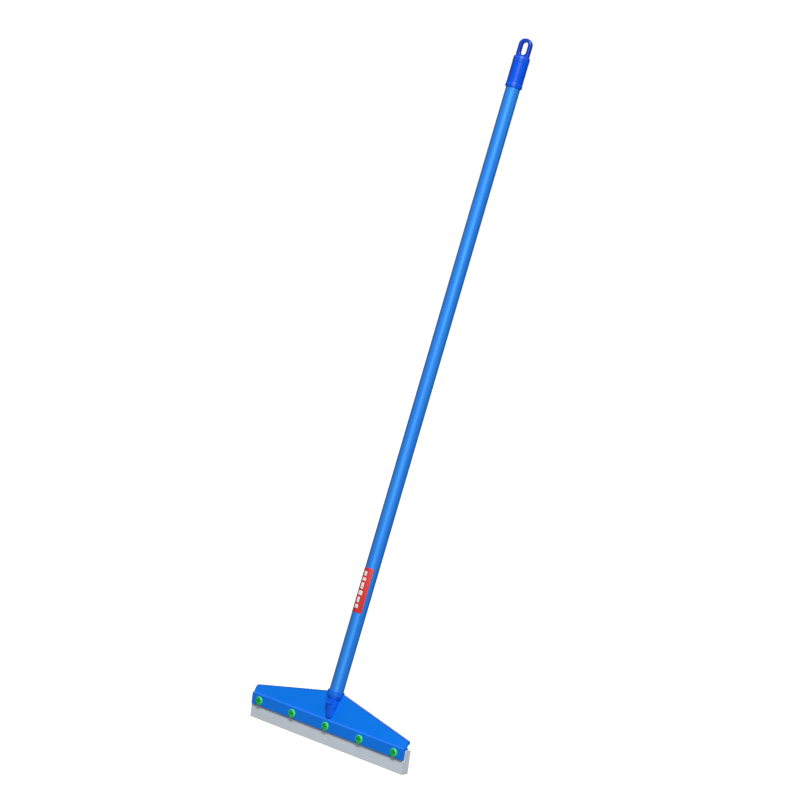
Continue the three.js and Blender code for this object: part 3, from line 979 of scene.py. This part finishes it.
    def pad(self) -> bpy.types.Mesh:
        """The raised squarish pad on the front of the boss: a crowned, soft-edged block.

        The outline is carried from the boss to its face; near the face it shrinks by a quarter
        circle, so the edge is rounded.

        Returns:
            The mesh, in metres.
        """
        top = -self.seat_drop - self.seat_thickness / 2
        low = top - self.pad_height - self.seat_thickness / 2
        half = self.pad_width / 2
        outline = rounded([(-half, low), (half, low), (half, top), (-half, top)], [1.6 * MM] * 4, 5)
        middle = np.array((0.0, (low + top) / 2))
        face = -self.boss_radius - self.pad_proud
        edge = 0.7 * MM
        angle = np.linspace(0, math.pi / 2, 6)
        inset = np.concatenate([[0.0], edge * (1 - np.cos(angle)), [edge + 1.2 * MM, edge + 1.7 * MM]])
        depth = np.concatenate([[0.0], face + edge - edge * np.sin(angle), [face, face + 0.35 * MM]])
        shrink = 1 - inset[:, None, None] / half
        flat = middle + (outline[None] - middle) * shrink
        points = surface(flat[..., 0], depth[:, None], flat[..., 1])
        return grid_mesh("pad", self.axis.to_world(points))

    def fairing(self) -> bpy.types.Mesh:
        """The half-round fairing below the boss, ending in a ball on the shelf.

        Level circles run from the boss down to the ball's middle, easing from one radius to the
        other, and then shrink as the ball does.

        Returns:
            The mesh, in metres.
        """
        step = np.array(self.axis.base + self.axis.up * (2 * MM - self.seat_drop - self.boss_length))
        end = np.array((0.0, self.front + self.fairing_setback, self.top + self.fairing_end - 0.5 * MM))
        share = np.linspace(0, 1, 14)
        middle = step[1:] + share[:, None] * (end[1:] - step[1:])
        radius = self.fairing_top + share * (self.fairing_end - self.fairing_top)
        fall = np.linspace(0, math.pi / 2, 12)[1:]
        ball = np.stack([np.full(len(fall), end[1]), end[2] - self.fairing_end * np.sin(fall)], 1)
        middle = np.concatenate([middle, ball])
        radius = np.concatenate([radius, self.fairing_end * np.cos(fall)])
        angle = np.linspace(0, 2 * math.pi, 72, endpoint=False)
        out, back = radius[:, None] * np.cos(angle), radius[:, None] * np.sin(angle)
        return grid_mesh("fairing", surface(out, middle[:, :1] + back, middle[:, 1:]))

    def moulding(self) -> bpy.types.Object:
        """Joins the head's one moulding.

        Returns:
            The piece.
        """
        meshes = [self.hood(), self.flange()]
        # The boss, pad and fairing take the second material, a darker blue: painted shade.
        thick = [self.boss(), self.pad(), self.fairing()]
        span = (self.half + self.hood_overhang - self.boss_radius) / (self.ribs_per_side + 1)
        cheek = self.half - self.cheek_thickness / 2 - 2.5 * MM
        for side in (-1, 1):
            for k in range(1, self.ribs_per_side + 1):
                meshes.append(self.web(side * (self.boss_radius + k * span), self.rib_thickness))
            meshes.append(self.web(side * cheek, self.cheek_thickness))
        piece = piece_from("head_moulding", joined("head_moulding", meshes, thick))
        soften(piece, 0.45 * MM)
        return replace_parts(piece, "head_shell")

    def strip(self) -> bpy.types.Object:
        """The clamp strip: a flat bar with rounded edges and a shallow groove down its back.

        Returns:
            The piece.
        """
        low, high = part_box("rear_clamp_strip")
        groove, bottom, mouth = 0.5 * MM, 5.2 * MM, 5.6 * MM
        middle = (low.z + high.z) / 2
        corners = [
            (low.y, low.z),
            (high.y, low.z),
            (high.y, middle - mouth),
            (high.y - groove, middle - bottom),
            (high.y - groove, middle + bottom),
            (high.y, middle + mouth),
            (high.y, high.z),
            (low.y, high.z),
        ]
        radii = [0.3 * MM, 0.8 * MM, *[0.15 * MM] * 4, 0.8 * MM, 0.3 * MM]
        mesh = loft("clamp_strip", np.linspace(low.x, high.x, 41), rounded(corners, radii, 3))
        piece = piece_from("clamp_strip", mesh)
        soften(piece, 0.4 * MM)
        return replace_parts(piece, "rear_clamp_strip")

    def build(self) -> None:
        """Makes and dresses every rigid piece of the head."""
        green, highlight_green, zinc = SCREW_GREEN.build(), SCREW_RIM_HIGHLIGHT_GREEN.build(), NUT_STEEL.build()
        blues = (finish.build() for finish in (HEAD_BLUE, BOSS_SHADE_BLUE, RIM_SHADE_BLUE))
        dress(self.moulding(), "head", "head_plastic", *blues)
        dress(self.strip(), "head", "strip_plastic", STRIP_BLUE.build())
        for k in range(1, self.screws + 1):
            dress(ClampScrew(k).build(), "head", "screw_plastic", green, highlight_green)
            dress(refined(f"clamp_nut_{k}", f"hex_nut_{k}", 0.3 * MM), "head", "nut_steel", zinc)


@dataclass
class ClampScrew:
    """One clamp screw: a domed head with a raised rim and a cross recess, and its shank."""

    number: int
    head_height: float = 3.2 * MM
    rim_fall: float = 0.9 * MM
    dome: float = 1.1 * MM
    rim_width: float = 0.9 * MM
    recess_depth: float = 1.9 * MM
    recess_half_length: float = 4.7 * MM
    recess_half_width: float = 1.35 * MM
    recess_soft: float = 0.45 * MM
    shank_radius: float = 2.5 * MM

    def build(self) -> bpy.types.Object:
        """Turns the head's profile about its axis, and presses the cross into the dome.

        The face's height is a dome, one minus the squared radius, with a rounded rim; the cross
        is pressed in by a smooth step of the distance from its two bars.

        Returns:
            The piece.
        """
        low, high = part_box(f"clamp_screw_{self.number}")
        radius = (high.x - low.x) / 2
        flat = low.y + self.head_height
        centre = np.array(((low.x + high.x) / 2, flat, (low.z + high.z) / 2))
        inner = radius - self.rim_width
        turn = np.linspace(0.1, math.pi / 2, 10)
        reach = np.concatenate([np.linspace(0, inner, 90), inner + self.rim_width * np.sin(turn)])
        face = self.head_height - self.dome * (reach / radius) ** 2
        past = np.clip((reach - inner) / self.rim_width, 0, 1)
        face = face - (self.head_height - self.dome - self.rim_fall) * (1 - np.sqrt(1 - past**2))
        angle = np.linspace(0, 2 * math.pi, 200, endpoint=False)
        x = reach[:, None] * np.cos(angle)
        z = reach[:, None] * np.sin(angle)
        level = np.maximum(np.abs(x) - self.recess_half_length, np.abs(z) - self.recess_half_width)
        upright = np.maximum(np.abs(z) - self.recess_half_length, np.abs(x) - self.recess_half_width)
        inside = np.clip((self.recess_soft / 2 - np.minimum(level, upright)) / self.recess_soft, 0, 1)
        pressed = self.recess_depth * inside**2 * (3 - 2 * inside)
        tail = np.array([(radius, 0.0), (self.shank_radius, 0.0), (self.shank_radius, high.y - flat)])
        shank = surface(tail[:, :1] * np.cos(angle), tail[:, 1:], tail[:, :1] * np.sin(angle))
        points = np.concatenate([surface(x, pressed - face[:, None], z), shank]) + centre
        name = f"green_screw_{self.number}"
        piece = piece_from(name, grid_mesh(name, points))
        piece.data.set_sharp_from_angle(angle=math.radians(50))
        # The rim's outer front faces take the second material, a lighter green: a painted highlight on the
        # rim.
        centres = face_centres(piece.data) - centre
        out = np.hypot(centres[:, 0], centres[:, 2]) / radius
        paint(piece.data, (out > 0.8) & (centres[:, 1] < -0.4 * MM), 1)
        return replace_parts(piece, f"clamp_screw_{self.number}")


@dataclass
class Blade:
    """One foam blade, made whole from its clamped root to its wiping edge."""

    side: str
    rows: int = 110
    columns: int = 170
    unevenness: float = 0.03 * MM
    bend_above: float = 2.0 * MM
    bend_below: float = 3.0 * MM

    def outline(self) -> np.ndarray:
        """The blade's outline in the YZ plane, from the CAD root's and lip's boxes.

        Returns:
            An array of (y, z) points, in order round the section.
        """
        root_low, root_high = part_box(f"{self.side}_blade_root")
        lip_low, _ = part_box(f"{self.side}_blade_lip")
        front, back = root_low.y, root_high.y
        shoulder = root_low.z + 0.1 * MM
        edge = 0.7 * MM
        top = root_high.z
        corners = [(back, 0.0), (back, top), (front, top), (front, shoulder), (lip_low.y, 0.0)]
        radii = [edge, edge, edge, 0.2 * MM, edge]
        if lip_low.y < front - 0.5 * MM:
            corners.insert(4, (lip_low.y, shoulder - 0.8 * MM))
            radii.insert(4, 1.6 * MM)
        else:
            del corners[3], radii[3]
        closed = rounded(corners, radii, 5)
        closed = np.vstack([closed, closed[:1]])
        steps = np.linalg.norm(np.diff(closed, axis=0), axis=1)
        along = np.concatenate([[0.0], np.cumsum(steps)])
        even = np.linspace(0, along[-1], self.rows)
        wanted = np.unique(np.round(np.concatenate([even[:-1], along[:-1]]), 7))
        return np.stack([np.interp(wanted, along, closed[:, k]) for k in (0, 1)], 1)

    def build(self, foam: bpy.types.Material) -> bpy.types.Object:
        """Carries the outline along X, with the slight unevenness of moulded foam.

        A point's place across the blade is moved by a sum of two slow sines of its place along
        and up the blade, a few hundredths of a millimetre high.

        Args:
            foam: the blade's material.

        Returns:
            The piece, from its root in the head to its own lip.
        """
        root_low, root_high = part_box(f"{self.side}_blade_root")
        lip_low, lip_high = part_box(f"{self.side}_blade_lip")
        middle = (root_low.y + root_high.y) / 2
        outline = self.outline()
        x = np.linspace(lip_low.x, lip_high.x, self.columns)
        outlines = np.repeat(outline[None], len(x), axis=0)
        along, up = x[:, None] / MM, outline[None, :, 1] / MM
        wave = np.sin(0.11 * along + 0.13 * up) + 0.6 * np.sin(0.031 * along - 0.2 * up + 1.3)
        inward = -np.sign(outline[None, :, 0] - middle)
        outlines[:, :, 0] += inward * (1.6 + wave) * self.unevenness
        name = f"{self.side}_foam_blade"
        piece = piece_from(name, loft(name, x, outlines))
        piece.data.set_sharp_from_angle(angle=math.radians(50))
        piece.data.materials.append(foam)
        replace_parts(piece, f"{self.side}_blade_root", f"{self.side}_blade_lip")
        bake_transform(piece)
        LOG.info("%s bends from head to lip", piece.name)
        return piece


@dataclass
class Handle:
    """The coated tube with its collar and label.

    A block on the label is its start and length along it, in mm, and half its angle in degrees.
    """

    axis: Axis
    sleeve_end: float = HANDLE_LENGTH - 35.75 * MM
    sleeve_radius: float = 11.5 * MM
    sleeve_wall: float = 0.6 * MM
    collar_wall: float = 1.7 * MM
    gap: float = 0.3 * MM
    label_low: float = 126 * MM
    label_length: float = 72 * MM
    label_half_angle: float = 56.0
    blocks: tuple[Point, ...] = ((7, 6, 16), (16, 9, 12), (28, 7, 20), (38, 10, 14), (51, 5, 18), (59, 7, 13))

    def collar(self) -> bpy.types.Object:
        """The ring round the tube's end.

        Returns:
            The piece.
        """
        inner = self.sleeve_radius + self.gap
        outer = inner + self.collar_wall
        mesh = self.axis.pipe("collar_ring", inner, outer, -COLLAR_HEIGHT, 0.0, 0.6 * MM)
        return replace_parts(piece_from("collar_ring", mesh), "ferrule_collar")

    def sleeve(self) -> bpy.types.Object:
        """The coating: a long thin pipe, in short steps so that its shading stays even.

        Returns:
            The piece.
        """
        inner = self.sleeve_radius - self.sleeve_wall
        low, high = -COLLAR_HEIGHT, self.sleeve_end
        height = np.concatenate([np.linspace(low, high, 90), [high, low]])
        radius = np.where(np.arange(len(height)) < 90, self.sleeve_radius, inner)
        mesh = self.axis.revolve("coated_sleeve", np.stack([radius, height], 1), True)
        mesh.set_sharp_from_angle(angle=math.radians(40))
        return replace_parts(piece_from("coated_sleeve", mesh), "handle_sleeve")

    def patch(
        self, name: str, radius: float, thick: float, low: float, high: float, half: float
    ) -> bpy.types.Mesh:
        """A thin patch that wraps the front of the sleeve.

        Args:
            name: the mesh's name.
            radius: its inner radius.
            thick: its thickness.
            low: its lower edge's height over the collar's top.
            high: its upper edge's height.
            half: half of the angle that it spans, in degrees.

        Returns:
            The closed mesh.
        """
        angle = np.radians(np.linspace(-half, half, 40))[:, None] - math.pi / 2
        ring = [(radius, low), (radius + thick, low), (radius + thick, high), (radius, high)]
        outline = rounded(ring, [thick * 0.3] * 4, 2)
        out, height = outline.T
        mesh = grid_mesh(name, self.axis.to_world(surface(out * np.cos(angle), out * np.sin(angle), height)))
        mesh.set_sharp_from_angle(angle=math.radians(40))
        return mesh

    def label(self) -> tuple[bpy.types.Object, bpy.types.Object]:
        """The red label and the plain pale blocks on it.

        Returns:
            The label and its blocks.
        """
        low, high = self.label_low, self.label_low + self.label_length
        base = self.sleeve_radius + 0.05 * MM
        thick, ink = 0.2 * MM, 0.06 * MM
        mesh = self.patch("red_label", base, thick, low, high, self.label_half_angle)
        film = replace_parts(piece_from("red_label", mesh), "handle_label")
        blocks = []
        for start, length, half in self.blocks:
            bottom = low + start * MM
            blocks.append(self.patch("block", base + thick, ink, bottom, bottom + length * MM, half))
        return film, piece_from("label_blocks", joined("label_blocks", blocks))

    def build(self) -> None:
        """Makes and dresses the handle's pieces."""
        dress(self.collar(), "handle", "head_plastic", COLLAR_BLUE.build())
        dress(self.sleeve(), "handle", "sleeve_plastic", SLEEVE_BLUE.build())
        film, panel = self.label()
        dress(film, "handle", "label_film", LABEL_RED.build())
        dress(panel, "handle", "label_film", LABEL_WHITE.build())
        tube = frame["nodes"]["handle_tube"]
        tube.data.materials.clear()
        tube.data.materials.append(TUBE_STEEL.build())


@dataclass
class HangCap:
    """The cap on the tube's end, with its hanging eye."""

    axis: Axis
    length: float = HANDLE_LENGTH
    barrel: float = 50 * MM
    radius: float = 13.0 * MM
    bore: float = 11.8 * MM
    bore_depth: float = 44.3 * MM
    rim_proud: float = 0.5 * MM
    rim_height: float = 5 * MM
    bead_proud: float = 0.35 * MM
    bead_pitch: float = 2.2 * MM
    beads: int = 3
    shoulder: float = 1.6 * MM
    turn: float = 22.0
    eye_width: float = 21.5 * MM
    eye_thickness: float = 9.5 * MM
    slot_width: float = 10.0 * MM
    slot_length: float = 21.0 * MM

    def barrel_profile(self) -> np.ndarray:
        """The barrel's closed-ended profile, from inside its bore round to its top.

        Returns:
            An array of (radius, height).
        """
        bar = (self.eye_width - self.slot_width) / 2
        low = self.length - self.barrel - self.slot_length - bar - 3 * MM
        high = low + self.barrel
        rim = self.radius + self.rim_proud
        points = [(0.0, low + self.bore_depth), (self.bore, low + self.bore_depth)]
        points += [(self.bore, low + 0.5 * MM), (self.bore + 0.5 * MM, low)]
        points += arc(rim - 0.6 * MM, low + 0.6 * MM, 0.6 * MM, -90, 0, 4)
        points += arc(rim - 0.4 * MM, low + self.rim_height - 0.4 * MM, 0.4 * MM, 0, 70, 3)
        points += [(self.radius, low + self.rim_height + 0.8 * MM)]
        points += [(self.radius, low + self.rim_height + k * 5 * MM) for k in range(1, 8)]
        for k in range(self.beads, 0, -1):
            middle = high - self.shoulder - k * self.bead_pitch
            rise = np.linspace(-1, 1, 9)
            points += [(self.radius + self.bead_proud * (1 - t * t), middle + t * 0.6 * MM) for t in rise]
        points += arc(self.radius - self.shoulder, high - self.shoulder, self.shoulder, 0, 90, 8)
        return np.array([*points, (0.0, high)])

    def eye(self) -> bpy.types.Mesh:
        """The flat eye round its slot.

        Going round, an inner point follows the slot, a stadium, and an outer point the eye's
        outline: a half circle on top, straight legs, and square below, inside the barrel. A
        rounded rectangle joins the two across the eye's thickness.

        Returns:
            The mesh, in metres.
        """
        inner, outer = self.slot_width / 2, self.eye_width / 2
        top = self.length - outer
        bottom = self.length - (outer - inner) - self.slot_length + inner
        upper = np.linspace(0, math.pi, 37)
        lower = np.linspace(math.pi, 2 * math.pi, 37)
        legs = np.linspace(top, bottom, 8)[1:-1]
        square = outer / np.maximum(np.abs(np.cos(lower)), np.abs(np.sin(lower)))
        near, far = (
            np.concatenate([
                np.stack([reach * np.cos(upper), top + reach * np.sin(upper)], 1),
                np.stack([np.full(len(legs), -reach), legs], 1),
                np.stack([foot * np.cos(lower), bottom + foot * np.sin(lower)], 1),
                np.stack([np.full(len(legs), reach), legs[::-1]], 1),
            ])
            for reach, foot in ((inner, inner), (outer, square))
        )
        half = self.eye_thickness / 2
        width = outer - inner
        corners = [(0.0, -half), (width, -half), (width, half), (0.0, half)]
        section = rounded(corners, [1.5 * MM, 2.4 * MM, 2.4 * MM, 1.5 * MM], 7)
        share, depth = section[:, 0] / width, section[:, 1]
        plane = near[:, None] + share[None, :, None] * (far - near)[:, None]
        across, up = plane[..., 0], plane[..., 1]
        cos, sin = math.cos(math.radians(self.turn)), math.sin(math.radians(self.turn))
        points = surface(across * cos - depth * sin, across * sin + depth * cos, up)
        return grid_mesh("eye", self.axis.to_world(points), True)

    def build(self) -> None:
        """Makes and dresses the cap."""
        barrel = self.axis.revolve("barrel", self.barrel_profile(), False)
        # The eye takes the second material, a darker blue: painted shade on the eye.
        piece = piece_from("cap_with_eye", joined("cap_with_eye", [barrel], [self.eye()]))
        piece.data.set_sharp_from_angle(angle=math.radians(55))
        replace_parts(piece, "hang_cap")
        dress(piece, "cap", "cap_plastic", CAP_BLUE.build(), EYE_SHADE_BLUE.build())


# ---- Camera, light and floor ------------------------------------------------------------


@dataclass(frozen=True)
class Studio:
    """The camera at its viewing angle, soft lights and a plain pale floor."""

    place: Point = (3.5901, -3.8013, 1.3846)
    azimuth: float = 42.85
    elevation: float = 9.06
    roll: float = 7.8
    lens: float = 154.2
    floor_half: float = 60.0
    floor_level: float = -66 * MM
    floor_glow: float = 0.965
    sky_low: float = 0.01
    sky_high: float = 0.34

    def camera(self) -> None:
        """Sets the camera from its place, its two angles and its roll."""
        data = bpy.data.cameras.new("camera")
        data.lens = self.lens
        data.sensor_width = 36.0
        data.clip_start = 0.01
        data.clip_end = 500.0
        camera = piece_from("camera", data)
        a, e, r = (math.radians(v) for v in (self.azimuth, self.elevation, self.roll))
        back = Vector((math.sin(a) * math.cos(e), -math.cos(a) * math.cos(e), math.sin(e)))
        level = Vector((math.cos(a), math.sin(a), 0.0))
        upright = back.cross(level)
        right = level * math.cos(r) + upright * math.sin(r)
        up = back.cross(right)
        turned = Matrix((right, up, back)).transposed().to_4x4()
        camera.matrix_world = Matrix.Translation(self.place) @ turned
        bpy.context.scene.camera = camera

    def area_light(self, name: str, place: Point, aim: Point, size: float, power: float) -> None:
        """Adds a soft square light.

        Args:
            name: the light's name.
            place: where it stands, in metres.
            aim: the point that it faces.
            size: the side of its square.
            power: its power in watts.
        """
        data = bpy.data.lights.new(name, "AREA")
        data.size = size
        data.energy = power
        light = piece_from(name, data)
        facing = (Vector(aim) - Vector(place)).to_track_quat("-Z", "Y")
        light.matrix_world = Matrix.Translation(place) @ facing.to_matrix().to_4x4()

    def floor(self) -> None:
        """A flat pale floor, low enough that the head clears it when pulled off."""
        half, level = self.floor_half, self.floor_level
        corners = [(-half, -half, level), (half, -half, level), (half, half, level), (-half, half, level)]
        mesh = bpy.data.meshes.new("floor")
        mesh.from_pydata(corners, [], [(0, 1, 2, 3)])
        floor = piece_from("floor", mesh)
        paint = bpy.data.materials.new("floor_paint")
        paint.use_nodes = True
        wiring = Wiring(paint.node_tree)
        seen = wiring.place("ShaderNodeLightPath", "Is Camera Ray")
        feeds = {
            "Base Color": (0.2, 0.2, 0.2, 1.0),
            "Roughness": 0.9,
            "Specular IOR Level": 0.0,
            "Emission Color": (1.0, 1.0, 1.0, 1.0),
            "Emission Strength": wiring.math("MULTIPLY", seen, self.floor_glow),
        }
        wiring.shade(feeds)
        mesh.materials.append(paint)

    def world(self) -> None:
        """A surrounding light that is bright overhead and dim at the horizon."""
        world = bpy.data.worlds.new("studio")
        world.use_nodes = True
        wiring = Wiring(world.node_tree)
        where = wiring.place("ShaderNodeTexCoord", "Generated")
        height = wiring.place("ShaderNodeSeparateXYZ", "Z", Vector=where)
        ramp = wiring.ranged(height, 0.05, 0.9, self.sky_high, self.sky_low)
        seen = wiring.place("ShaderNodeLightPath", "Is Camera Ray")
        back = world.node_tree.nodes["Background"]
        wiring.feed(back.inputs["Color"], (1.0, 1.0, 1.0, 1.0))
        wiring.feed(back.inputs["Strength"], wiring.math("MAXIMUM", seen, ramp))
        scene = bpy.context.scene
        scene.world = world
        scene.view_settings.view_transform = "Standard"

    def build(self) -> None:
        """Sets up the camera, the floor, the surroundings and the lights."""
        self.camera()
        self.floor()
        self.world()
        self.area_light("key", (2.4, -2.7, 4.2), (0, 0, 0.4), 1.2, 285.0)
        self.area_light("fill", (3.2, -3.5, 1.6), (0, 0, 0.5), 0.6, 42.0)
        self.area_light("back", (-3.2, 3.6, 3.6), (0, 0, 0.4), 1.5, 185.0)


def main() -> None:
    """Builds the studio and the wiper's sub-assemblies in order."""
    logging.basicConfig(level=logging.INFO, format="%(name)s: %(message)s")
    Studio().build()
    axis = Axis.from_frame()
    Head(axis).build()
    foam = FOAM_GREY.build()
    for side in ("front", "rear"):
        Blade(side).build(foam)
    Handle(axis).build()
    HangCap(axis).build()


if __name__ == "__main__":
    main()
